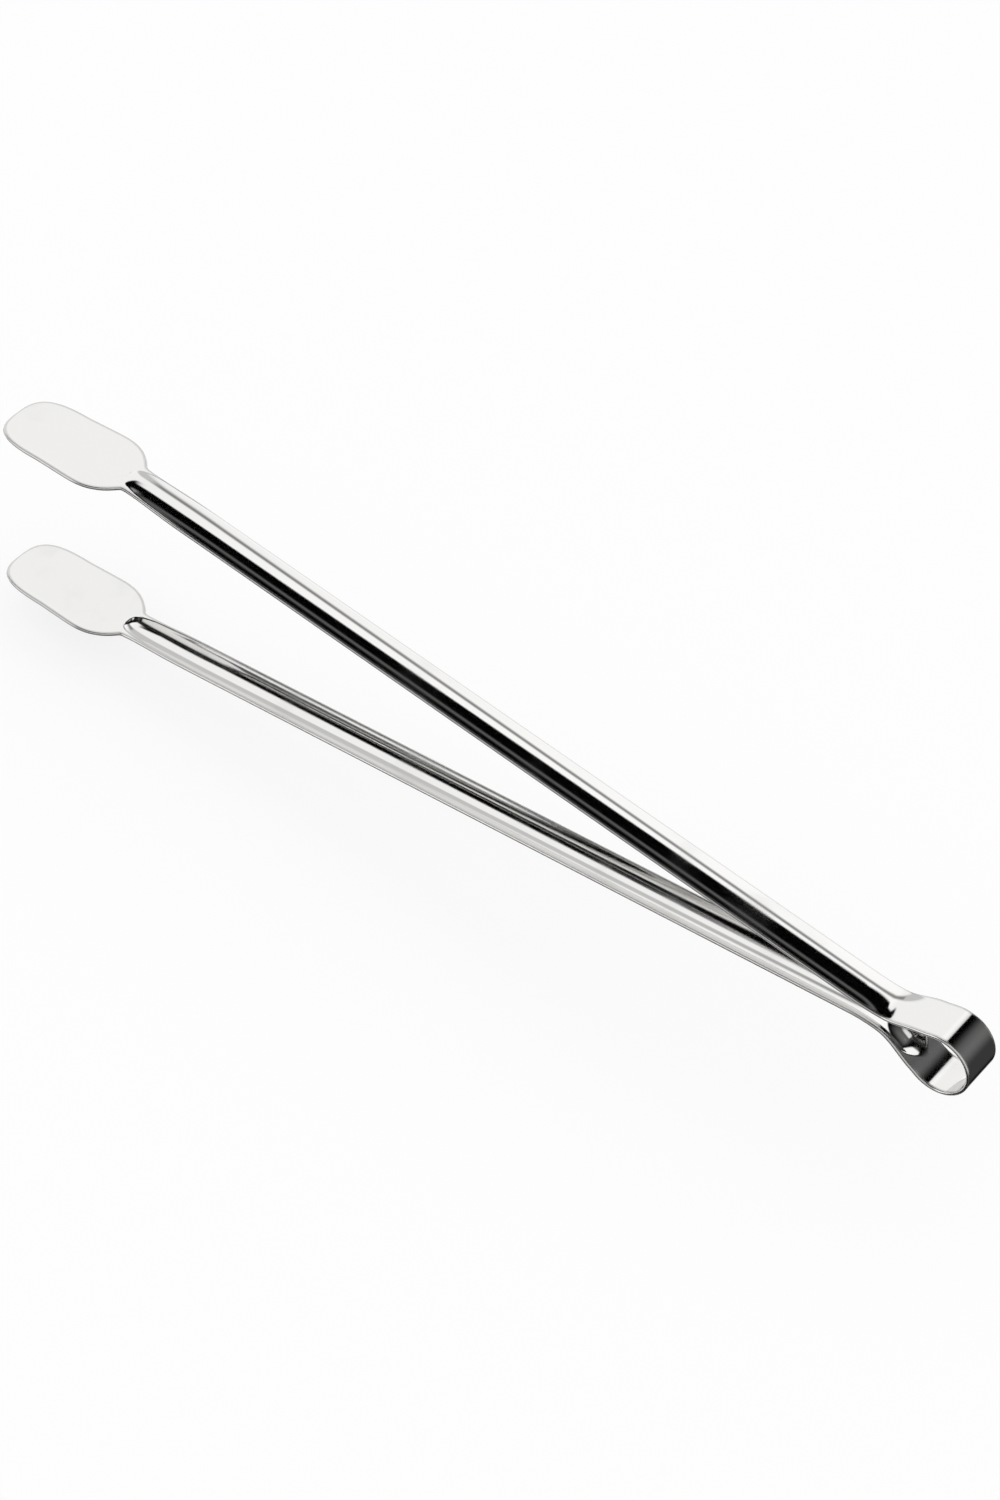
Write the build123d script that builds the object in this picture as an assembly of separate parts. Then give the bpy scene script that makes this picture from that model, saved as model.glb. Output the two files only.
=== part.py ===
"""Stamp tongs: one springy stainless strip, looped at the back, with broad spade tips.

The strip is bent into a round loop that is the spring.  Both ends of the loop run
forward as long arms, pressed into a shallow channel whose back faces outwards, and
each arm opens out into a flat spade that picks up the stamp.

Frame, in millimetres: the origin is the centre of the loop, +X points out through the
back of the loop, the spades point along -X, Y is the width of the strip and +Z points
from the lower arm to the upper one.  The tongs are drawn relaxed, which is open.

The strip flexes in the loop.  It is divided there, on two round noses that sit in
round seats, so the arms can turn, and again at the necks where the channel ends.
"""

import os
from math import acos, asin, cos, radians, sin, tan

from build123d import *

# ---- driving dimensions (mm and degrees) ----
LENGTH = 160.0            # back of the loop to the spade tips
SHEET = 0.5               # spring stainless sheet
LOOP_INNER_RADIUS = 4.3
LOOP_WIDTH = 6.5          # strip width where it is flat, in the loop

MID_PLANE_Z = 0.9         # plane half-way between the arms; the loop hangs a little below it
ARM_SLOPE = 5.9           # each arm to the mid-plane, when relaxed
ARM_OFFSET = 0.75         # crown line of each arm to the mid-plane, carried back to x = 0
ARM_WIDTH = 6.0           # channel, over its edges, at the loop
NECK_WIDTH = 5.8          # channel, over its edges, at the neck
CHANNEL_DEPTH = 0.9       # crown of the channel to its edges, mid-sheet
CHANNEL_START_X = -3.6    # the channel fades in from here ...
CHANNEL_FULL_X = -9.0     # ... to here

UPPER_LOOP_END = 109.0    # angle on the loop where each arm leaves it
LOWER_LOOP_END = 123.0
FLEX_X = -3.0             # where each arm turns on the loop
SEAT_CLEARANCE = 0.02     # round nose to round seat
SEAT_BLOCK = 0.45         # straight length of strip that holds the round seat

NECK_X = -133.7           # the strip starts to widen here
NOSE_LENGTH = 1.6         # closed end of the channel, ahead of the neck
NOSE_RUN = 2.6            # length over which the channel closes
SHOULDER_START = 0.5      # neck to the corner where the spade flares out
SHOULDER_LENGTH = 8.0     # corner to the full spade width
SHOULDER_ROUND = 0.35     # softness of that corner
SPADE_END_WIDTH = 11.1    # where the rounded end starts; the spade tapers towards it
SPADE_TAPER = 0.05        # narrowing of each side, per length
TIP_ROUND_LENGTH = 8.6    # length of the rounded end of the spade
TIP_ROUND_POWER = 3.0     # 2 is an ellipse, more is squarer
UPPER_SPADE_BEND = 7.6    # spade to arm, bent towards the mid-plane
LOWER_SPADE_BEND = 5.7
RIM_ROUND = 0.2           # polished rim of the loop and the spades

# ---- derived sizes ----
HALF_SHEET = SHEET / 2
LOOP_MID_RADIUS = LOOP_INNER_RADIUS + HALF_SHEET
TIP_X = LOOP_MID_RADIUS + HALF_SHEET - LENGTH
SPADE_START_X = NECK_X - NOSE_LENGTH
SECTIONS_IN_ROOT = 13
SECTIONS_IN_NOSE = 7
SECTIONS_IN_SPADE = 8


def ease(value):
    """Smooth step from 0 to 1."""
    value = min(max(value, 0.0), 1.0)
    return value * value * (3 - 2 * value)


def half_width(x):
    """Half the strip's width at a distance along the arm, up to the spade's rounded end."""
    at_loop = LOOP_WIDTH / 2
    channel = ARM_WIDTH / 2 + (NECK_WIDTH - ARM_WIDTH) / 2 * min(max(x / NECK_X, 0.0), 1.0)
    formed = ease((CHANNEL_START_X - x) / (CHANNEL_START_X - CHANNEL_FULL_X))
    arm = at_loop + (channel - at_loop) * formed
    flare = NECK_X - x - SHOULDER_START
    flare = (flare + (flare**2 + SHOULDER_ROUND**2) ** 0.5) / 2
    shoulder = 1 - max(1 - flare / SHOULDER_LENGTH, 0.0) ** 3
    spade = SPADE_END_WIDTH / 2 + SPADE_TAPER * (x - TIP_X - TIP_ROUND_LENGTH)
    return arm + (spade - arm) * shoulder


def channel_depth(x):
    """Depth of the channel: none in the loop, full along the arm, none in the spade."""
    rise = ease((CHANNEL_START_X - x) / (CHANNEL_START_X - CHANNEL_FULL_X))
    fall = ease((x - SPADE_START_X) / NOSE_RUN)
    return CHANNEL_DEPTH * min(rise, fall)


class HalfPath:
    """Side view of the strip from the loop to one spade, drawn as if it were the upper half.

    It is an arc of the loop, a reverse bend that is tangent to it, and a straight arm.
    """

    def __init__(self, loop_end, offset_z, spade_bend):
        self.loop_end = radians(loop_end)
        self.slope = radians(ARM_SLOPE)
        self.spade_slope = radians(ARM_SLOPE - spade_bend)
        self.line_z = offset_z + ARM_OFFSET
        lean = sin(self.loop_end + self.slope)
        self.bend_radius = (LOOP_MID_RADIUS * lean - self.line_z * cos(self.slope)) / (1 - lean)
        reach = LOOP_MID_RADIUS + self.bend_radius
        self.bend_x = reach * cos(self.loop_end)
        self.bend_z = reach * sin(self.loop_end)
        self.bend_end_x = self.bend_x - self.bend_radius * sin(self.slope)

    def crown_z(self, x):
        """Mid-sheet height of the crown line, from the loop's end to the neck."""
        if x < self.bend_end_x:
            return self.line_z - x * tan(self.slope)
        swing = acos((x - self.bend_x) / self.bend_radius)
        return self.bend_z - self.bend_radius * sin(swing)

    def slope_at(self, x):
        """Rise of the strip towards the spades, in radians."""
        if x < self.bend_end_x:
            return self.slope
        return asin((self.bend_x - x) / self.bend_radius)

    def edge_z(self, x):
        """Height of the channel's edges, which carry straight on into the spade."""
        neck = self.line_z - NECK_X * tan(self.slope) - CHANNEL_DEPTH / cos(self.slope)
        if x > NECK_X:
            return neck + (NECK_X - x) * tan(self.slope)
        return neck + (NECK_X - x) * tan(self.spade_slope)


def strip_section(x, z, slope, width, depth):
    """Cross-section of the strip: a shallow arch of sheet with half-round edges."""
    plane = Plane(origin=(x, 0, z), x_dir=(0, 1, 0), z_dir=(-cos(slope), 0, sin(slope)))
    outward = -1 if plane.y_dir.Z < 0 else 1
    bulge = 2 * depth / width**2
    stations = [-width, -width / 2, 0, width / 2, width]

    def point(across, side, along=0.0):
        """A point of the arch, offset to one side of the mid-sheet and past its edge."""
        lean = bulge * across
        length = (1 + lean * lean) ** 0.5
        u = across + (lean * side + along) / length
        v = -bulge * across * across / 2 + (side - lean * along) / length
        return plane.from_local_coords((u, outward * v, 0))

    outer = [point(across, HALF_SHEET) for across in stations]
    inner = [point(across, -HALF_SHEET) for across in reversed(stations)]
    far_edge = ThreePointArc(outer[-1], point(width, 0, HALF_SHEET), inner[0])
    near_edge = ThreePointArc(inner[-1], point(-width, 0, -HALF_SHEET), outer[0])
    return Face(Wire([Spline(*outer), far_edge, Spline(*inner), near_edge]))


def flat_width(x):
    """Half width of the flat part of a section, inside its half-round edges."""
    return half_width(x) - HALF_SHEET


def flex_point(path):
    """Where the arm turns on the loop: mid-sheet, just past the end of the loop."""
    return Vector(FLEX_X, 0, path.crown_z(FLEX_X))


def cross_bar(centre, radius, length):
    """A cylinder along Y."""
    return Pos(centre) * Rot(90, 0, 0) * Cylinder(radius, length)


def make_arm(path):
    """Channelled arm from its round seat on the loop to the start of the spade."""
    flex = flex_point(path)
    flex_slope = path.slope_at(FLEX_X)
    block_end = flex + SEAT_BLOCK * Vector(-cos(flex_slope), 0, sin(flex_slope))
    flat_end = strip_section(block_end.X, block_end.Z, flex_slope, LOOP_WIDTH / 2 - HALF_SHEET, 0.0)
    seat_block = extrude(flat_end, SEAT_BLOCK, dir=flex - block_end)
    seat_block -= cross_bar(flex, HALF_SHEET + SEAT_CLEARANCE, 2 * LOOP_WIDTH)

    root = [flat_end]
    for i in range(1, SECTIONS_IN_ROOT):
        x = block_end.X + (path.bend_end_x - block_end.X) * i / (SECTIONS_IN_ROOT - 1)
        root.append(strip_section(x, path.crown_z(x), path.slope_at(x), flat_width(x), channel_depth(x)))

    nose = []
    nose_start = SPADE_START_X + NOSE_RUN
    for i in range(SECTIONS_IN_NOSE):
        x = nose_start + (SPADE_START_X - nose_start) * i / (SECTIONS_IN_NOSE - 1)
        depth = channel_depth(x)
        bent = ease((nose_start - x) / NOSE_RUN)
        slope = path.slope + (path.spade_slope - path.slope) * bent
        z = path.edge_z(x) + depth / cos(slope)
        nose.append(strip_section(x, z, slope, flat_width(x), depth))

    return seat_block + loft(root) + loft([root[-1], nose[0]], ruled=True) + loft(nose)


def make_spade(path):
    """Flat spade, from the closed end of the channel to the rounded tip."""
    length = (SPADE_START_X - TIP_X) / cos(path.spade_slope)
    round_start = length - TIP_ROUND_LENGTH
    half_end = SPADE_END_WIDTH / 2

    side = []
    tip = []
    power = 2 / TIP_ROUND_POWER
    for i in range(SECTIONS_IN_SPADE + 1):
        along = round_start * i / SECTIONS_IN_SPADE
        side.append((along, half_width(SPADE_START_X - along)))
        turn = radians(90 * i / SECTIONS_IN_SPADE)
        across = half_end * max(cos(turn), 0.0) ** power
        tip.append((round_start + TIP_ROUND_LENGTH * sin(turn) ** power, across))
    side[-1] = tip[0]
    tip[-1] = (length, 0.0)

    taper = (1, -SPADE_TAPER)
    right = [Spline(*side, tangents=[(1, 0.8), taper]), Spline(*tip, tangents=[taper, (0, -1)])]
    left = [edge.mirror(Plane.XZ) for edge in right]
    base = Line(side[0], (side[0][0], -side[0][1]))
    outline = Face(Wire(right + left + [base]))
    plate = extrude(outline, HALF_SHEET, both=True)
    ahead = [edge for edge in plate.edges() if edge.center().X > 0.01]
    rim = [edge for edge in ahead if abs(edge.center().Z) > HALF_SHEET / 2]
    plate = fillet(rim, RIM_ROUND)
    heading = Plane(
        origin=(SPADE_START_X, 0, path.edge_z(SPADE_START_X)),
        x_dir=(-cos(path.spade_slope), 0, sin(path.spade_slope)),
        z_dir=(sin(path.spade_slope), 0, cos(path.spade_slope)),
    )
    return heading * plate


def make_loop(upper, lower):
    """The spring: nearly a full turn of flat strip with a round nose at each end."""

    def beside(path, x, flip, side):
        """A point of the reverse bend, offset to one side of the mid-sheet."""
        slope = path.slope_at(x)
        z = path.crown_z(x) + side * cos(slope)
        return Vector(x + side * sin(slope), 0, flip * z)

    def on_loop(angle, side):
        radius = LOOP_MID_RADIUS + side
        return Vector(radius * cos(angle), 0, radius * sin(angle))

    def long_edge(side):
        """One face of the strip in side view, from the upper nose round to the lower one."""
        ends = []
        for path, flip in ((upper, 1), (lower, -1)):
            middle = (FLEX_X + LOOP_MID_RADIUS * cos(path.loop_end)) / 2
            joins = on_loop(flip * path.loop_end, side)
            ends.append((beside(path, FLEX_X, flip, side), beside(path, middle, flip, side), joins))
        top, bottom = ends
        turn = ThreePointArc(top[2], on_loop(0, side), bottom[2])
        return [ThreePointArc(*top), turn, ThreePointArc(*reversed(bottom))]

    outer, inner = long_edge(HALF_SHEET), long_edge(-HALF_SHEET)
    noses = []
    for path, flip, end in ((upper, 1, 0), (lower, -1, 1)):
        flex = flex_point(path)
        slope = path.slope_at(FLEX_X)
        front = Vector(flex.X - HALF_SHEET * cos(slope), 0, flip * (flex.Z + HALF_SHEET * sin(slope)))
        where = 0 if end == 0 else -1
        noses.append(ThreePointArc(outer[where] @ end, front, inner[where] @ end))
    side_view = Face(Wire(outer + inner + noses))
    strip = extrude(side_view, LOOP_WIDTH / 2, dir=(0, 1, 0), both=True)
    rims = [edge for edge in strip.edges() if abs(edge.center().Y) > LOOP_WIDTH / 2 - 0.01]
    return fillet(rims, RIM_ROUND)


upper_path = HalfPath(UPPER_LOOP_END, MID_PLANE_Z, UPPER_SPADE_BEND)
lower_path = HalfPath(LOWER_LOOP_END, -MID_PLANE_Z, LOWER_SPADE_BEND)

parts = {
    "spring_loop": make_loop(upper_path, lower_path),
    "upper_arm": make_arm(upper_path),
    "upper_spade": make_spade(upper_path),
    "lower_arm": mirror(make_arm(lower_path), about=Plane.XY),
    "lower_spade": mirror(make_spade(lower_path), about=Plane.XY),
}

os.makedirs("parts", exist_ok=True)
for name, shape in parts.items():
    export_step(shape, f"parts/{name}.step")
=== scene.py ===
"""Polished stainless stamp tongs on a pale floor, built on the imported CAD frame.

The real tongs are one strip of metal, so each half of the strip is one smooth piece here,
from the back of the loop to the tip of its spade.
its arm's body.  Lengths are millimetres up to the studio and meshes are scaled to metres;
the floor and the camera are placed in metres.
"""

from math import cos, pi, radians, sin, sqrt

import bpy
from mathutils import Matrix, Vector


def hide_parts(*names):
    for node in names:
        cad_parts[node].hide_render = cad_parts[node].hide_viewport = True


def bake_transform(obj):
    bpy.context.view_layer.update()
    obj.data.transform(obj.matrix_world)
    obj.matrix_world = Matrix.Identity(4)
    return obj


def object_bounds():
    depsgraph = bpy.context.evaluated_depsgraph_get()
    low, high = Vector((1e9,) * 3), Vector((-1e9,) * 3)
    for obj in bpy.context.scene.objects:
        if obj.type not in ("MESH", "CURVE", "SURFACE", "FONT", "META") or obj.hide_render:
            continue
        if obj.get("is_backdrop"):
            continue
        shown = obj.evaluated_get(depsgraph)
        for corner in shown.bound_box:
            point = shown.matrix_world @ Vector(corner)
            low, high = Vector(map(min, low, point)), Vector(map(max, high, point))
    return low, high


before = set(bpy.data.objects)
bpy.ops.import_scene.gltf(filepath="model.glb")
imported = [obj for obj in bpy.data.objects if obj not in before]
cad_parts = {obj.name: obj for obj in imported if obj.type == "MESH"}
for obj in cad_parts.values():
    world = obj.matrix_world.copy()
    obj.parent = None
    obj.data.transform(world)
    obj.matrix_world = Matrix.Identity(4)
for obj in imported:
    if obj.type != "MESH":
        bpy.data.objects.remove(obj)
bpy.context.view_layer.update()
MM = 0.001

# ---- the strip, as in the CAD part ----
SHEET = 0.5
LOOP_RADIUS = 4.55         # mid-sheet
LOOP_WIDTH = 6.5
MID_PLANE_Z = 0.9          # half-way between the arms, above the loop's centre
ARM_SLOPE = 5.9            # degrees
ARM_OFFSET = 0.75          # each arm's crown line, carried back to the loop's centre
ARM_WIDTH = 6.0
NECK_WIDTH = 5.8
CHANNEL_DEPTH = 0.9
NECK_X = -133.7
NECK_LEAD = 0.3            # the spade's bend is centred this far past the neck
LOOP_STRIP_END = 3.4       # the strip narrows from the loop's width from here ...
LOOP_STRIP_NARROWS = 5.6   # ... over this length
SHOULDER_START = 0.5       # the spade's flare starts this far past the neck
SHOULDER_LENGTH = 8.0
SHOULDER_ROUND = 0.35
SPADE_END_WIDTH = 11.1
SPADE_TAPER = 0.05
TIP_X = -155.2
TIP_ROUND_LENGTH = 8.6
TIP_ROUND_POWER = 3.0      # bluntness of the tip's outline
TIP_SPARE = 0.3            # the crown line is traced this far past the tip
HINGE_X = -3.0             # the loop gives way to the arm here
BEND_REACH = 5.0           # and the strip bends this far to each side of it

# ---- finer shape that only the visual has (places are measured ahead of the loop's centre) ----
CHANNEL_START = 3.6        # the channel's edges fall away from here ...
CHANNEL_FULL = 9.0         # ... to here
ROOT_START = 2.7           # the pressed arch rises from the flat from here
SHALLOW_START = 119.0      # it is pressed less deeply from here ...
SHALLOW_FULL = 134.0       # ... to here
SHALLOW_SHARE = 0.28       # by this share
NOSE_LENGTH = 5.5          # and its end rounds off over this length ...
NOSE_END = 135.0           # ... to the flat of the spade
NOSE_ROUND = 0.5
WAIST_START = 124.0        # the arm narrows a little from here ...
WAIST_FULL = 132.5         # ... to here
WAIST = 0.25               # by this much on each side
RIM_BAND = 0.28            # width of the duller ground band along every edge
CREASE = 0.08              # softness of the line between the arch and the flat beside it
NECK_BEND_LENGTH = 2.2
BLEND_LENGTH = 1.2         # length over which the strip's curvature changes
HALF_SHEET = SHEET / 2
REACH_BELOW = 5.6          # the lower tip swings down almost this far from its place at rest

# ---- mesh ----
EDGE_SEGMENTS = 8
ACROSS_SEGMENTS = 30
FINE_ROW = 0.19            # spacing of the rows on the loop and the root of the arm ...
ARM_ROW = 1.5              # ... on the straight arm ...
NOSE_ROW = 0.1             # ... at the nose and the neck ...
SPADE_ROW = 0.5            # ... and on the spade
ROOT_END_X = -13.0
NOSE_X = -129.0
SPADE_X = -136.5
TIP_ROWS = 40
TIP_LAST_TURN = 87.5       # degrees round the tip's outline at the last row
BELOW_SHIFT = 20           # keeps the inner face's polishing lines apart from the outer one's
UV_SCALE = 0.1
UV_EDGE_STEP = 0.1         # step of the lengthwise map round the half-round edge


def ease(value):
    """Smooth step from 0 to 1."""
    value = min(max(value, 0.0), 1.0)
    return value * value * (3 - 2 * value)


def mix(a, b, share):
    """From a to b by a share."""
    return a + (b - a) * share


def half_width(x):
    """Half the strip's width, up to the spade's full width."""
    channel = mix(ARM_WIDTH, NECK_WIDTH, min(max(x / NECK_X, 0.0), 1.0)) / 2
    channel -= WAIST * ease((-x - WAIST_START) / (WAIST_FULL - WAIST_START))
    arm = mix(LOOP_WIDTH / 2, channel, ease((-x - LOOP_STRIP_END) / LOOP_STRIP_NARROWS))
    flare = NECK_X - x - SHOULDER_START
    flare = (flare + sqrt(flare**2 + SHOULDER_ROUND**2)) / 2
    shoulder = 1 - max(1 - flare / SHOULDER_LENGTH, 0.0) ** 3
    spade = SPADE_END_WIDTH / 2 + SPADE_TAPER * (x - TIP_X - TIP_ROUND_LENGTH)
    return mix(arm, spade, shoulder)


class Strip:
    """One half of the strip, drawn as if it were the upper one.

    Its crown line starts at the back of the loop and is followed by its length, s.
    """

    STEP = 0.02

    def __init__(self, loop_end, offset_z, spade_bend, root_length, root_narrows):
        slope = radians(ARM_SLOPE)
        end = radians(loop_end)
        line_z = offset_z + ARM_OFFSET
        lean = sin(end + slope)
        bend_radius = (LOOP_RADIUS * lean - line_z * cos(slope)) / (1 - lean)
        self.loop_length = LOOP_RADIUS * end
        bend_length = bend_radius * (end - pi / 2 + slope)
        bend_end_x = (LOOP_RADIUS + bend_radius) * cos(end) - bend_radius * sin(slope)
        self.bend_end = self.loop_length + bend_length
        self.neck = self.bend_end + (bend_end_x - (NECK_X - NECK_LEAD)) / cos(slope)
        self.bends = [
            (self.loop_length, -1 / LOOP_RADIUS, 1 / bend_radius),
            (self.bend_end, 1 / bend_radius, 0.0),
        ]
        self.spade_turn = radians(spade_bend)
        self.root_length = root_length
        self.root_narrows = root_narrows
        self.trace()

    def curvature(self, s):
        """Change of slope along the strip."""
        value = self.bends[0][1]
        for place, before, after in self.bends:
            value += (after - before) * ease((s - place) / BLEND_LENGTH + 0.5)
        across_neck = (s - self.neck) / NECK_BEND_LENGTH + 0.5
        if 0 < across_neck < 1:
            value -= self.spade_turn / NECK_BEND_LENGTH * 6 * across_neck * (1 - across_neck)
        return value

    def trace(self):
        """Crown line as closely spaced points, out to the tip."""
        x, z, slope, s = LOOP_RADIUS, 0.0, pi / 2, 0.0
        self.points = [(x, z, slope)]
        while x > TIP_X - TIP_SPARE:
            middle = slope + self.curvature(s + self.STEP / 4) * self.STEP / 2
            x -= cos(middle) * self.STEP
            z += sin(middle) * self.STEP
            slope += self.curvature(s + self.STEP / 2) * self.STEP
            s += self.STEP
            self.points.append((x, z, slope))

    def at(self, s):
        """x, z and slope of the crown line."""
        place = min(max(s / self.STEP, 0.0), len(self.points) - 1.001)
        i = int(place)
        return tuple(mix(a, b, place - i) for a, b in zip(self.points[i], self.points[i + 1]))

    def length_to(self, x):
        """Length along the strip to a place ahead of the loop."""
        low, high = self.loop_length * 0.9, (len(self.points) - 1) * self.STEP
        for _ in range(40):
            middle = (low + high) / 2
            if self.at(middle)[0] > x:
                low = middle
            else:
                high = middle
        return low

    def drop(self, s, across):
        """How far the pressed surface lies below the crown line."""
        ahead = -self.at(s)[0]
        if s < self.loop_length or ahead < 0:
            return 0.0
        depth = CHANNEL_DEPTH * ease((ahead - CHANNEL_START) / (CHANNEL_FULL - CHANNEL_START))
        bead = mix(ARM_WIDTH, NECK_WIDTH, min(ahead / -NECK_X, 1.0)) / 2 - HALF_SHEET
        root = ease((ahead - ROOT_START) / self.root_length)
        nose = max(1 - max(1 - (NOSE_END - ahead) / NOSE_LENGTH, 0.0) ** 2, 0.0) ** NOSE_ROUND
        shallow = ease((ahead - SHALLOW_START) / (SHALLOW_FULL - SHALLOW_START))
        nose *= 1 - SHALLOW_SHARE * shallow
        if self.root_narrows:
            nose, root = nose * root, 1.0
        arch = CHANNEL_DEPTH * (nose - (across / bead) ** 2)
        crest = (arch + sqrt(arch * arch + CREASE * CREASE)) / 2 - CREASE / 2 * (1 - nose)
        return depth - max(crest, 0.0) * root

    def surface(self, s, across):
        """Mid-sheet point and its outward normal."""
        x, z, slope = self.at(s)
        along = Vector((-cos(slope), 0, sin(slope)))
        out = Vector((sin(slope), 0, cos(slope)))
        drop = self.drop(s, across)
        step = self.STEP
        fall_along = (self.drop(s + step, across) - self.drop(s - step, across)) / (2 * step)
        fall_across = (self.drop(s, across + step) - self.drop(s, across - step)) / (2 * step)
        stretch = 1 + drop * self.curvature(s)
        normal = out + along * (fall_along / stretch) + Vector((0, fall_across, 0))
        return Vector((x, 0, z)) + Vector((0, across, 0)) - out * drop, normal.normalized()

    def stations(self):
        """(length along the strip, half width of the flat part) of every row of the mesh."""
        rows = []

        def fill(start, stop, step):
            count = max(int(round((stop - start) / step)), 1)
            rows.extend(start + (stop - start) * i / count for i in range(count))

        root_end = self.length_to(ROOT_END_X)
        nose = self.length_to(NOSE_X)
        spade = self.length_to(SPADE_X)
        tip = self.length_to(TIP_X)
        round_start = tip - TIP_ROUND_LENGTH
        fill(0.0, root_end, FINE_ROW)
        fill(root_end, nose, ARM_ROW)
        fill(nose, spade, NOSE_ROW)
        fill(spade, round_start, SPADE_ROW)
        result = [(s, half_width(self.at(s)[0]) - HALF_SHEET) for s in rows]
        power = 2 / TIP_ROUND_POWER
        for i in range(TIP_ROWS):
            turn = radians(TIP_LAST_TURN * i / (TIP_ROWS - 1))
            s = round_start + TIP_ROUND_LENGTH * sin(turn) ** power
            inset = HALF_SHEET * sin(turn) ** 4
            width = SPADE_END_WIDTH / 2 * cos(turn) ** power - HALF_SHEET * cos(turn)
            result.append((s - inset, width))
        return result


def build_strip(name, strip, mirrored):
    """The half strip as one closed mesh with exact normals, rim weights and a lengthwise UV map."""
    flip = -1 if mirrored else 1
    rows = strip.stations()
    verts, normals, uvs, rims = [], [], [], []

    def add(point, normal, s, across, rim):
        verts.append(Vector((point.x, point.y, point.z * flip)) * MM)
        normals.append(Vector((normal.x, normal.y, normal.z * flip)))
        uvs.append((across * UV_SCALE, s * UV_SCALE))
        rims.append(rim)
        return len(verts) - 1

    edges = {}
    for side in (-1, 1):
        edges[side] = [strip.surface(s, side * width) for s, width in rows]

    def outwards(row, side):
        """In the sheet, square to the outline."""
        line = edges[side]
        if row == len(rows) - 1:
            slope = strip.at(rows[row][0])[2]
            return Vector((-cos(slope), 0, sin(slope)))
        before, after = line[max(row - 1, 0)][0], line[row + 1][0]
        return (after - before).cross(line[row][1]).normalized() * side

    def spread_of(row):
        """Places across a row, closer together at the rims, with their rim weights."""
        s, width = rows[row]
        before, after = rows[max(row - 1, 0)], rows[min(row + 1, len(rows) - 1)]
        stretch = sqrt(1 + ((after[1] - before[1]) / (after[0] - before[0])) ** 2)
        margin = min(RIM_BAND * stretch, width * 0.45)
        inner = ACROSS_SEGMENTS - 4
        half = [width - margin * share for share in (0.0, 0.4)]
        middle = [(width - margin) * (2 * j / inner - 1) for j in range(inner + 1)]
        places = [-half[0], -half[1]] + middle + [half[1], half[0]]
        weights = []
        for across in places:
            inset = min((width - abs(across)) / stretch, rows[-1][0] - s + HALF_SHEET)
            weights.append(ease((RIM_BAND - inset) / (RIM_BAND * 0.6)))
        return places, weights

    rings = []
    for row, (s, width) in enumerate(rows):
        # outer face, one half-round edge, inner face, other half-round edge
        ring = []
        stations, weights = spread_of(row)
        spread = [strip.surface(s, across) for across in stations]
        for across, weight, (point, normal) in zip(stations, weights, spread):
            ring.append(add(point + normal * HALF_SHEET, normal, s, across, weight))
        for side in (1, -1):
            point, normal = edges[side][row]
            out = outwards(row, side)
            for k in range(1, EDGE_SEGMENTS):
                turn = pi * k / EDGE_SEGMENTS
                if side < 0:
                    turn = pi - turn
                way = normal * cos(turn) + out * sin(turn)
                across = side * (width + k * UV_EDGE_STEP)
                ring.append(add(point + way * HALF_SHEET, way, s, across, 1.0))
            if side > 0:
                below = zip(reversed(stations), reversed(weights), reversed(spread))
                for across, weight, (point, normal) in below:
                    inner = point - normal * HALF_SHEET
                    ring.append(add(inner, -normal, s, across + BELOW_SHIFT, weight))
        rings.append(ring)

    faces = []
    count = len(rings[0])
    for low, high in zip(rings, rings[1:]):
        for j in range(count):
            k = (j + 1) % count
            faces.append((low[j], high[j], high[k], low[k]))

    # the tip: the half-round edge carried round the end of the last row
    s = rows[-1][0]
    along = outwards(len(rows) - 1, 1)
    last = rings[-1]
    right_start = ACROSS_SEGMENTS + 1
    bottom_start = ACROSS_SEGMENTS + EDGE_SEGMENTS
    left_start = bottom_start + ACROSS_SEGMENTS + 1
    top, right = last[:right_start], last[right_start:bottom_start]
    bottom, left = last[bottom_start:left_start], last[left_start:]
    bands = [top]
    stations, _ = spread_of(len(rows) - 1)
    for k in range(1, EDGE_SEGMENTS):
        turn = pi * k / EDGE_SEGMENTS
        band = [left[EDGE_SEGMENTS - 1 - k]]
        for across in stations[1:-1]:
            point, normal = strip.surface(s, across)
            way = normal * cos(turn) + along * sin(turn)
            place = s + k * UV_EDGE_STEP
            band.append(add(point + way * HALF_SHEET, way, place, across, 1.0))
        band.append(right[k - 1])
        bands.append(band)
    bands.append(list(reversed(bottom)))
    for low, high in zip(bands, bands[1:]):
        for j in range(ACROSS_SEGMENTS):
            faces.append((low[j], high[j], high[j + 1], low[j + 1]))

    faces.append(tuple(rings[0]))
    if not mirrored:
        faces = [tuple(reversed(face)) for face in faces]

    mesh = bpy.data.meshes.new(name)
    mesh.from_pydata(verts, [], faces)
    mesh.polygons.foreach_set("use_smooth", [True] * len(faces))
    layer = mesh.uv_layers.new(name="along")
    corner_normals = []
    cap = len(faces) - 1
    cap_normal = Vector((0, 0, 1 if mirrored else -1))
    for polygon in mesh.polygons:
        for loop in polygon.loop_indices:
            vertex = mesh.loops[loop].vertex_index
            layer.data[loop].uv = uvs[vertex]
            corner_normals.append(cap_normal if polygon.index == cap else normals[vertex])
    rim = mesh.attributes.new("rim", "FLOAT", "POINT")
    rim.data.foreach_set("value", rims)
    mesh.normals_split_custom_set(corner_normals)
    mesh.validate()
    obj = bpy.data.objects.new(name, mesh)
    bpy.context.scene.collection.objects.link(obj)
    return obj


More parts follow.
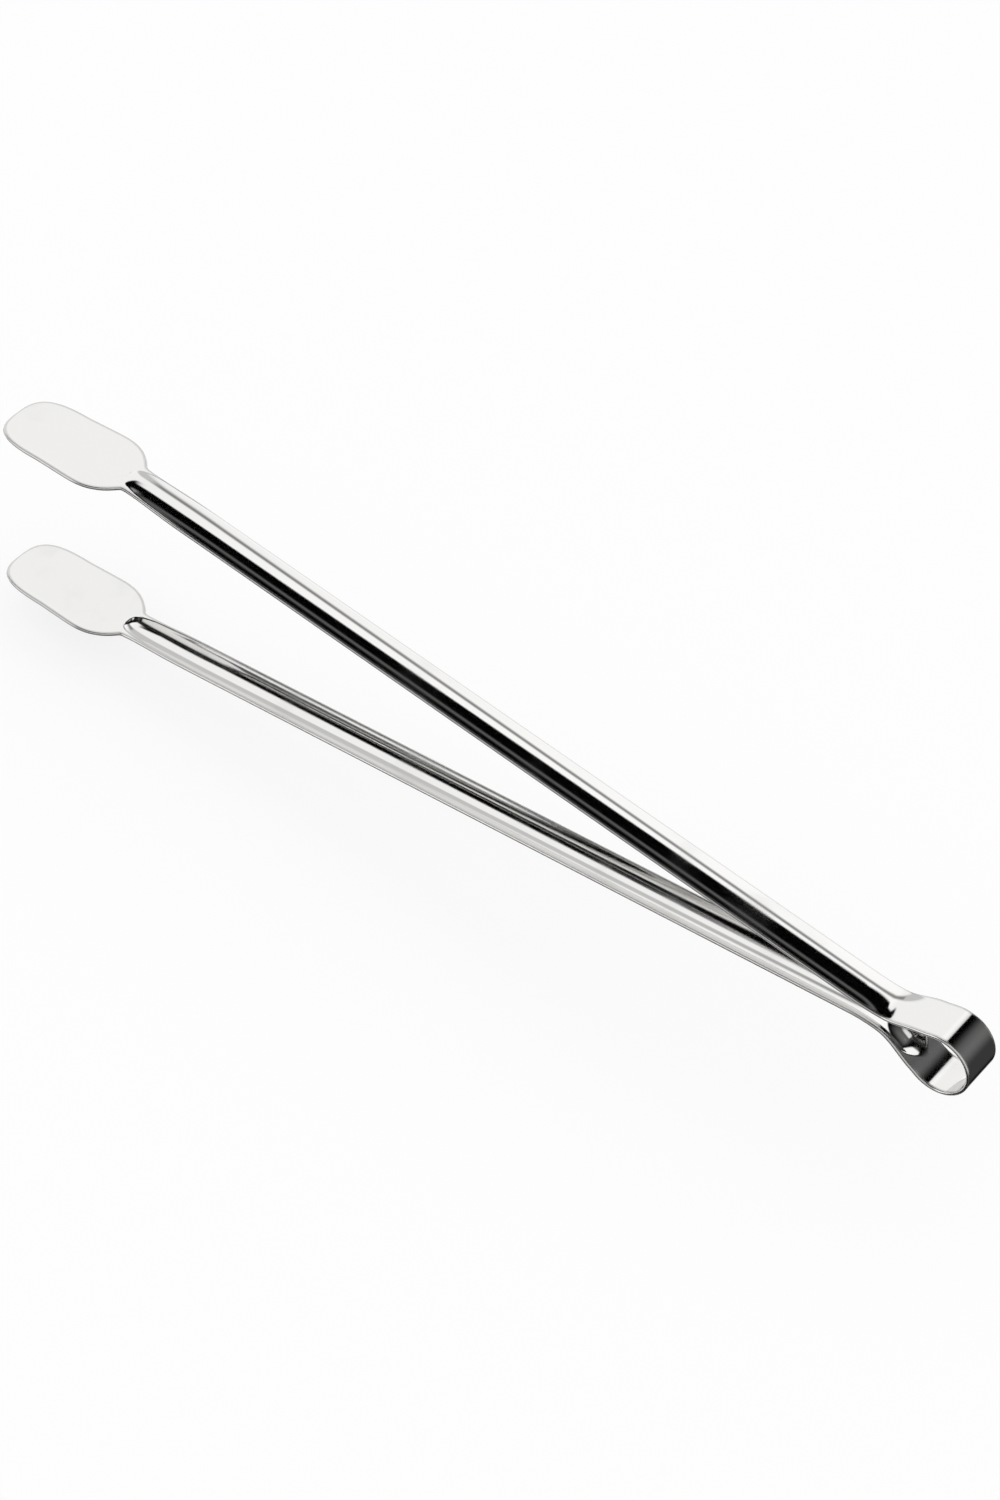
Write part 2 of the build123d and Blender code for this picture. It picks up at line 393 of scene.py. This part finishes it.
# ---- materials ----
STEEL_COLOUR = (0.73, 0.725, 0.715, 1.0)
DULL_COLOUR = (0.58, 0.575, 0.565, 1.0)
WHITE = (1.0, 1.0, 1.0, 1.0)
LINES_SCALE = (90.0, 1.6, 1.0)         # polishing lines: many across the strip, few along it
FINE_LINES_SCALE = (400.0, 5.0, 1.0)
SMEAR_SCALE = 90.0
WAVE_SCALE = 160.0
LINES_ROUGHNESS = (0.35, 0.75, 0.0, 0.035)
SMEAR_ROUGHNESS = (0.48, 0.72, 0.045, 0.12)
SMEAR_EDGE = (0.52, 0.75)
SMEAR_DULLNESS = 0.35
RIM_ROUGHNESS = 0.16
FINE_HEIGHT = 0.35
BUMP_STRENGTH = 0.05
BUMP_DISTANCE = 0.00006


def node(tree, kind, settings=None, **inputs):
    """A shader node with its settings and inputs, by name or as i0, i1, ...; sockets are linked."""
    made = tree.nodes.new(kind)
    for key, value in (settings or {}).items():
        setattr(made, key, value)
    for key, value in inputs.items():
        by_index = key[0] == "i" and key[1:].isdigit()
        socket = made.inputs[int(key[1:]) if by_index else key.replace("_", " ")]
        if isinstance(value, bpy.types.NodeSocket):
            tree.links.new(value, socket)
        else:
            socket.default_value = value
    return made


def calc(tree, operation, *values):
    """A maths node."""
    inputs = {f"i{i}": value for i, value in enumerate(values)}
    return node(tree, "ShaderNodeMath", {"operation": operation}, **inputs).outputs[0]


def ramp(tree, value, low, high, start=0.0, end=1.0):
    """Smooth step of a value between two limits, which may fall as well as rise."""
    settings = {"interpolation_type": "SMOOTHSTEP"}
    made = node(tree, "ShaderNodeMapRange", settings, Value=value)
    for index, setting in enumerate((low, high, start, end)):
        made.inputs[1 + index].default_value = setting
    return made.outputs[0]


def polished_steel():
    """Mirror-polished stainless with lengthwise polishing lines, faint smears and duller rims."""
    material = bpy.data.materials.new("polished_steel")
    material.use_nodes = True
    tree = material.node_tree
    tree.nodes.clear()
    along = node(tree, "ShaderNodeUVMap", {"uv_map": "along"}).outputs[0]
    position = node(tree, "ShaderNodeTexCoord").outputs["Object"]
    rim = node(tree, "ShaderNodeAttribute", {"attribute_name": "rim"}).outputs["Fac"]

    def noise(vector, **inputs):
        return node(tree, "ShaderNodeTexNoise", None, Vector=vector, **inputs).outputs[0]

    def stretched(scale):
        return node(tree, "ShaderNodeMapping", None, Vector=along, Scale=scale).outputs[0]

    lines = noise(stretched(LINES_SCALE), Scale=1.0, Detail=4.0, Roughness=0.6)
    fine = noise(stretched(FINE_LINES_SCALE), Scale=1.0, Detail=3.0, Roughness=0.65)
    smear = noise(position, Scale=SMEAR_SCALE, Detail=4.0, Roughness=0.55)
    wave = noise(position, Scale=WAVE_SCALE, Detail=1.0)

    roughness = calc(tree, "ADD", ramp(tree, lines, *LINES_ROUGHNESS),
                     ramp(tree, smear, *SMEAR_ROUGHNESS))
    roughness = calc(tree, "ADD", roughness, calc(tree, "MULTIPLY", rim, RIM_ROUGHNESS))
    dull = calc(tree, "MULTIPLY", ramp(tree, smear, *SMEAR_EDGE), SMEAR_DULLNESS)
    dull = calc(tree, "MAXIMUM", dull, rim)
    tint = node(tree, "ShaderNodeMix", {"data_type": "RGBA"}, Factor=dull)
    tint.inputs[6].default_value = STEEL_COLOUR
    tint.inputs[7].default_value = DULL_COLOUR

    height = calc(tree, "ADD", calc(tree, "MULTIPLY", fine, FINE_HEIGHT), wave)
    bump = node(tree, "ShaderNodeBump", None,
                Strength=BUMP_STRENGTH, Distance=BUMP_DISTANCE, Height=height)
    shader = node(tree, "ShaderNodeBsdfPrincipled", None, Metallic=1.0, Roughness=roughness)
    tree.links.new(tint.outputs[2], shader.inputs["Base Color"])
    tree.links.new(bump.outputs[0], shader.inputs["Normal"])
    output = node(tree, "ShaderNodeOutputMaterial")
    tree.links.new(shader.outputs[0], output.inputs[0])
    return material


# ---- the two halves ----
steel = polished_steel()
upper = Strip(109.0, MID_PLANE_Z, 7.6, root_length=9.7, root_narrows=False)
lower = Strip(123.0, -MID_PLANE_Z, 5.7, root_length=3.1, root_narrows=True)
halves = (
    ("upper_half", upper, False, "upper_arm", ("spring_loop", "upper_arm", "upper_spade")),
    ("lower_half", lower, True, "lower_arm", ("lower_arm", "lower_spade")),
)
for name, strip, mirrored, body, nodes in halves:
    piece = build_strip(name, strip, mirrored)
    piece.data.materials.append(steel)
    hinge = strip.length_to(HINGE_X)
    start, end = strip.at(hinge - BEND_REACH), strip.at(hinge + BEND_REACH)
    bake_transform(piece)
    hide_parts(*nodes)


# ---- studio ----
# Lights are placed by direction, a unit vector (x, y, z).  Two numbers are a light's soft edge,
# from dark to full; a second pair gives the levels at the two ends of the edge.
HORIZON = (0.0, -0.1)

NEAR_BORDER = (-0.5, -0.42)
NEAR_EDGE = (0.57, 0.65)
NEAR_SLANT = 1.33
NEAR_SLANT_END = -0.29
NEAR_BOW_START = 0.45
NEAR_BOW = 0.5
NEAR_LEVEL = (-0.4, -0.2, 1.18, 1.3)

FAR_BORDER = (-0.42, -0.5)
FAR_EDGE = (0.93, 1.02)
FAR_SLANT = 1.2
FAR_LEVEL = 1.18

SEAM_Y = 0.663
SEAM_SLANT = 0.28
SEAM_LEVEL = (0.015, 0.12, 0.25, 1.0)
SEAM_END = (-0.35, -0.45, 0.0, 0.6)

LOW_BORDER = (-0.4, -0.46)
LOW_SCREEN_EDGE = (-0.25, -0.285)
LOW_SCREEN_LEVEL = 1.2
LOW_STRIP_Y = 0.115
LOW_STRIP = (0.085, 0.0, 0.0, 0.5)
LOW_TABLE_FRONT = (0.0, 0.2, 0.0, 0.8)
LOW_TABLE_DEPTH = (-0.6, -0.4)

TABLE_FRONT = (-0.45, -0.3)
TABLE_BACK = (0.05, -0.05)
TABLE_RIGHT = (0.1, -0.1, 0.0, 1.25)
FAR_TABLE_FRONT = (0.45, 0.6)
FAR_TABLE_DEPTH = (-0.5, -0.25, 0.35, 1.0)

WALL_EDGE = (0.1, 0.5)
WALL_HEIGHT = 0.4
WALL_LEVEL = (0.55, 0.0, 0.05, 0.17)

STRIP_Y = 0.22
STRIP = (0.09, 0.0, 0.0, 0.13)

BEHIND_EDGE = (-0.52, -0.66)
BEHIND_BOTTOM = (-0.5, -0.3)
BEHIND_LEVEL = (-0.1, 0.6, 0.32, 0.85)

CEILING_LEFT = (0.0, 0.08)
CEILING_FAR = (0.36, 0.24)
CEILING_LEVEL = (-0.55, -0.42, 0.0, 0.9)
CEILING_BOTTOM = (-0.35, -0.2)
SIDE_EDGE = (0.5, 0.6)
SIDE_GAP_Y = 0.61
SIDE_GAP = (0.06, 0.14)


def studio_world():
    """What the mirror sees; every other ray sees even white light."""
    world = bpy.data.worlds.new("studio")
    bpy.context.scene.world = world
    world.use_nodes = True
    tree = world.node_tree
    tree.nodes.clear()
    direction = node(tree, "ShaderNodeTexCoord").outputs["Generated"]
    x, y, z = node(tree, "ShaderNodeSeparateXYZ", None, Vector=direction).outputs

    def chain(operation, first, *others):
        for other in others:
            first = calc(tree, operation, first, other)
        return first

    def times(*values):
        return chain("MULTIPLY", *values)

    def plus(*values):
        return chain("ADD", *values)

    def minus(*values):
        return chain("SUBTRACT", *values)

    def largest(*values):
        return chain("MAXIMUM", *values)

    def size(value):
        return calc(tree, "ABSOLUTE", value)

    def soft(value, limits):
        return ramp(tree, value, *limits)

    below = soft(z, HORIZON)
    above = minus(1.0, below)

    # two slanted white screens on the far side, with a darker seam across them
    near_edge = minus(y, times(largest(x, NEAR_SLANT_END), NEAR_SLANT))
    near_edge = minus(near_edge, times(largest(minus(y, NEAR_BOW_START), 0.0), NEAR_BOW))
    near_screen = times(soft(near_edge, NEAR_EDGE), soft(x, NEAR_BORDER), soft(x, NEAR_LEVEL))
    far_edge = minus(y, times(x, FAR_SLANT))
    far_screen = times(soft(far_edge, FAR_EDGE), soft(x, FAR_BORDER), FAR_LEVEL)
    seam = size(plus(minus(y, SEAM_Y), times(x, SEAM_SLANT)))
    seam = largest(soft(seam, SEAM_LEVEL), soft(x, SEAM_END))
    screens = times(plus(near_screen, far_screen), above, seam)

    # on the left, a low screen on the near side and a strip light beside it
    low_screen = times(soft(y, LOW_SCREEN_EDGE), LOW_SCREEN_LEVEL)
    low_screen = largest(low_screen, soft(size(plus(y, LOW_STRIP_Y)), LOW_STRIP))
    low_screen = times(low_screen, above, soft(x, LOW_BORDER))

    # a ceiling light and a side light on the right
    ceiling = times(soft(x, CEILING_LEFT), soft(y, CEILING_FAR))
    side = times(soft(x, SIDE_EDGE), soft(size(minus(y, SIDE_GAP_Y)), SIDE_GAP))
    ceiling = times(largest(ceiling, side), soft(y, CEILING_LEVEL), soft(z, CEILING_BOTTOM))
    screens = largest(screens, low_screen, ceiling)

    # the table the tongs lie over, darker in places
    far_table = times(soft(y, FAR_TABLE_FRONT), soft(z, FAR_TABLE_DEPTH))
    low_table = times(soft(x, LOW_BORDER), soft(y, LOW_TABLE_FRONT), soft(z, LOW_TABLE_DEPTH))
    table = times(soft(y, TABLE_FRONT), soft(y, TABLE_BACK))
    table = plus(table, largest(far_table, low_table))
    table = times(below, table, soft(x, TABLE_RIGHT))

    # a dim wall on the right, a faint strip light, and a screen behind the camera
    wall = times(soft(x, WALL_EDGE), soft(size(minus(z, WALL_HEIGHT)), WALL_LEVEL))
    strip_light = soft(size(plus(y, STRIP_Y)), STRIP)
    behind = times(soft(y, BEHIND_EDGE), times(soft(z, BEHIND_BOTTOM), soft(z, BEHIND_LEVEL)))
    strength = plus(plus(screens, table), plus(wall, strip_light), behind)

    room = node(tree, "ShaderNodeBackground", None, Strength=strength)
    even = node(tree, "ShaderNodeBackground", None, Strength=1.0)
    even.inputs[0].default_value = WHITE
    room.inputs[0].default_value = WHITE
    rays = node(tree, "ShaderNodeLightPath")
    blend = node(tree, "ShaderNodeMixShader", None, Fac=rays.outputs["Is Glossy Ray"])
    tree.links.new(even.outputs[0], blend.inputs[1])
    tree.links.new(room.outputs[0], blend.inputs[2])
    output = node(tree, "ShaderNodeOutputWorld")
    tree.links.new(blend.outputs[0], output.inputs[0])


# ---- floor, in metres ----
FLOOR_HALF = 0.8
FLOOR_X = -0.07
FLOOR_WHITE = (0.98, 0.98, 0.98, 1.0)
FLOOR_GLOW = 0.99
FLOOR_GLOW_SHARE = 0.8     # the rest is plain paper, which takes a soft shadow


def pale_floor(height):
    """A plain pale floor that the mirror does not see."""
    corners = [(-1, -1), (1, -1), (1, 1), (-1, 1)]
    mesh = bpy.data.meshes.new("floor")
    mesh.from_pydata([(x * FLOOR_HALF, y * FLOOR_HALF, 0) for x, y in corners], [], [(0, 1, 2, 3)])
    floor = bpy.data.objects.new("floor", mesh)
    floor.location = (FLOOR_X, 0, height)
    bpy.context.scene.collection.objects.link(floor)
    floor.visible_glossy = False
    paper = bpy.data.materials.new("paper")
    paper.use_nodes = True
    tree = paper.node_tree
    tree.nodes.clear()
    diffuse = node(tree, "ShaderNodeBsdfDiffuse")
    diffuse.inputs[0].default_value = FLOOR_WHITE
    glow = node(tree, "ShaderNodeEmission", None, Strength=FLOOR_GLOW)
    sheet = node(tree, "ShaderNodeMixShader", None, Fac=FLOOR_GLOW_SHARE)
    tree.links.new(diffuse.outputs[0], sheet.inputs[1])
    tree.links.new(glow.outputs[0], sheet.inputs[2])
    tree.links.new(sheet.outputs[0], node(tree, "ShaderNodeOutputMaterial").inputs[0])
    mesh.materials.append(paper)
    floor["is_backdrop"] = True


studio_world()
pale_floor(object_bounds()[0][2] - REACH_BELOW * MM)

# ---- camera, in metres ----
AZIMUTH, ELEVATION, ROLL = radians(32.95), radians(45.82), radians(6.0)
LOOKS_AT = (-0.07373, 0.00419, 0)
DISTANCE = 0.5185
LENS = 94.06

camera_data = bpy.data.cameras.new("camera")
camera = bpy.data.objects.new("camera", camera_data)
bpy.context.scene.collection.objects.link(camera)
bpy.context.scene.camera = camera
back = Vector((
    sin(AZIMUTH) * cos(ELEVATION),
    -cos(AZIMUTH) * cos(ELEVATION),
    sin(ELEVATION),
))
camera.rotation_mode = "QUATERNION"
turn = (-back).to_track_quat("-Z", "Y").to_matrix() @ Matrix.Rotation(ROLL, 3, "Z")
camera.rotation_quaternion = turn.to_quaternion()
camera.location = Vector(LOOKS_AT) + back * DISTANCE
camera_data.lens = LENS
camera_data.clip_start = 0.01
bpy.context.scene.view_settings.view_transform = "Standard"
